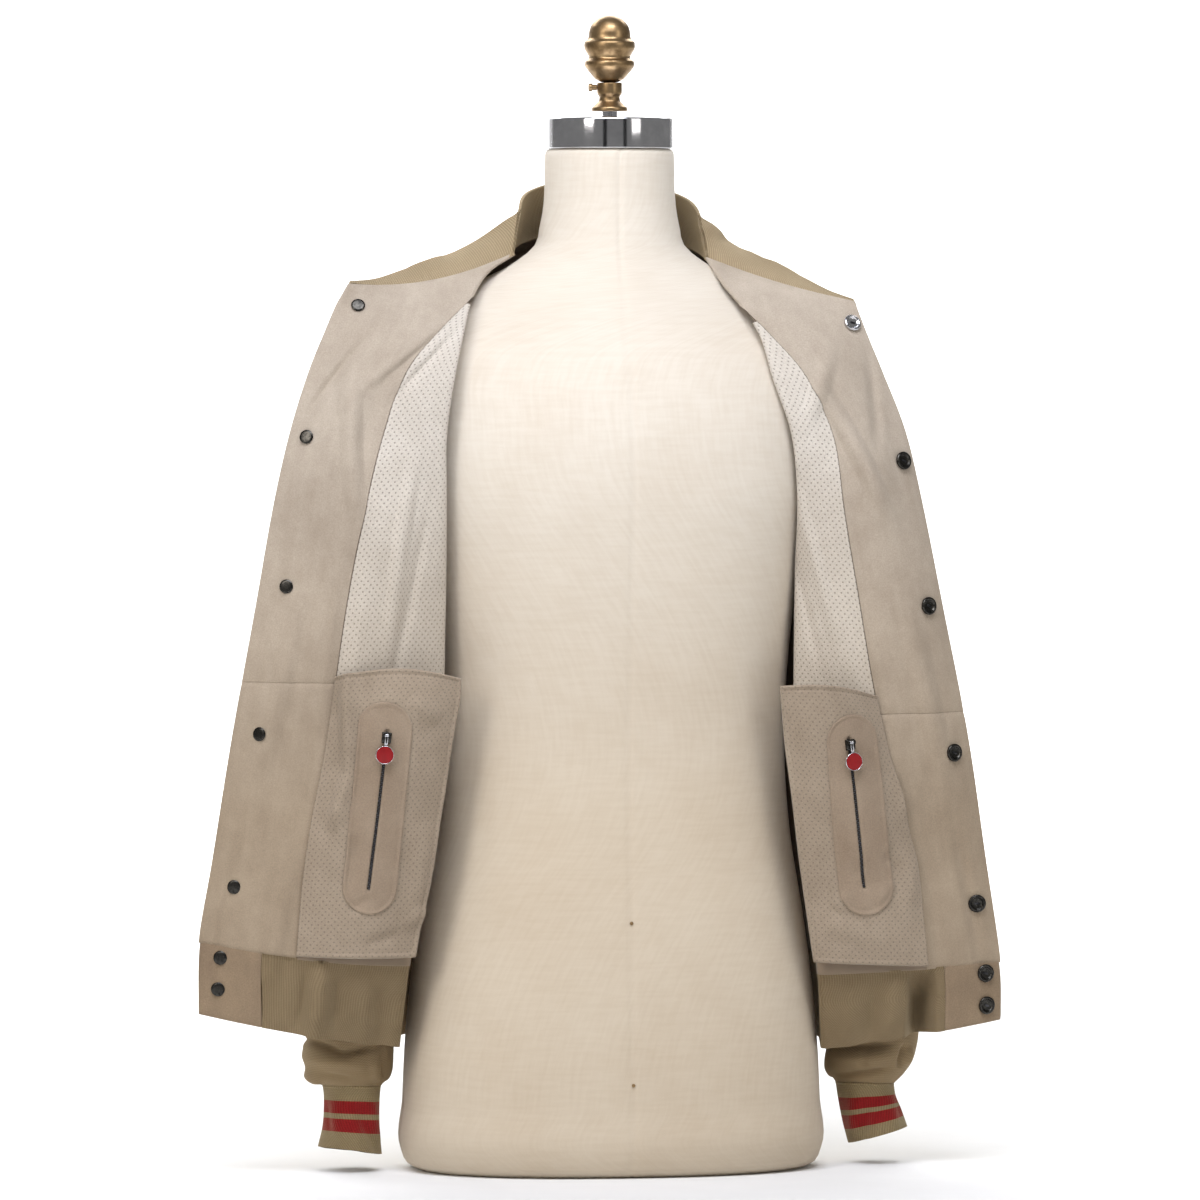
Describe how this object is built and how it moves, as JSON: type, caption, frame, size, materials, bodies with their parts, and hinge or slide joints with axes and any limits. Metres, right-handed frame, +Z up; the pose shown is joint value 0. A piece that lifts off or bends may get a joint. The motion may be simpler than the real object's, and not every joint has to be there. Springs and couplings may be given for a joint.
{
  "type": "suede bomber jacket on dress form",
  "caption": "Suede bomber jacket with rib-knit collar, waistband and striped cuffs, worn open with both fronts turned back to show its lining and inside zip pockets, on a limbless dress form.",
  "frame": {"origin": "centre of the dress form's flat base, on the surface it stands on", "axes": "+Z up; -Y is the front, where the turned-back fronts show their inside; +X is to the right of someone who looks at the front"},
  "size_m": [0.6794, 0.2632, 0.9672],
  "materials": {
    "suede": "matt napped suede leather",
    "perforated_suede": "matt suede with a staggered grid of small holes",
    "rib_knit": "matt wool-like rib knit",
    "form_cloth": "plain linen cover",
    "chrome": "polished",
    "brass": "aged, satin",
    "gunmetal": "dark polished plating",
    "zip_metal": "dark satin",
    "red_enamel": "glossy enamel in a chrome rim"
  },
  "bodies": {
    "jacket_and_form": {"form_body": "form_cloth", "neck_cap": "chrome", "neck_rod": "chrome", "finial_socket": "brass", "socket_screw": "brass", "finial_knob": "brass", "back_panel": "suede", "front_left": "suede", "front_right": "suede", "facing_left_lower": "suede", "facing_left_upper": "suede", "facing_right_lower": "suede", "facing_right_upper": "suede", "lining_left": "perforated_suede", "lining_right": "perforated_suede", "collar": "rib_knit", "waistband_rib": "rib_knit", "waistband_end_left": "suede", "waistband_end_right": "suede", "sleeve_left": "suede", "sleeve_right": "suede", "sleeve_knit_left": "rib_knit", "sleeve_knit_right": "rib_knit", "cuff_left": "rib_knit", "cuff_right": "rib_knit", "pocket_left": "perforated_suede", "pocket_right": "perforated_suede", "zip_welt_left": "suede", "zip_welt_right": "suede", "zip_chain_left": "zip_metal", "zip_chain_right": "zip_metal", "zip_slider_left": "gunmetal", "zip_slider_right": "gunmetal", "snap_stud_1": "gunmetal", "snap_stud_2": "gunmetal", "snap_stud_3": "gunmetal", "snap_stud_4": "gunmetal", "snap_stud_5": "gunmetal", "snap_stud_6": "gunmetal", "snap_stud_7": "gunmetal", "snap_socket_1": "gunmetal", "snap_socket_2": "gunmetal", "snap_socket_3": "gunmetal", "snap_socket_4": "gunmetal", "snap_socket_5": "gunmetal", "snap_socket_6": "gunmetal", "snap_socket_7": "gunmetal"},
    "pull_left": {"pull_link_left": "chrome", "pull_tab_left": "red_enamel"},
    "pull_right": {"pull_link_right": "chrome", "pull_tab_right": "red_enamel"}
  },
  "joints": [
    {"name": "pull_left_swing", "type": "hinge", "parent": "jacket_and_form", "child": "pull_left", "pos_m": [-0.20571, -0.11778, 0.36989], "axis": [-0.9879, 0.1135, 0.1056], "range_deg": [0, 150]},
    {"name": "pull_right_swing", "type": "hinge", "parent": "jacket_and_form", "child": "pull_right", "pos_m": [0.18355, -0.11643, 0.36099], "axis": [-0.9805, -0.1513, -0.1255], "range_deg": [0, 150]}
  ]
}
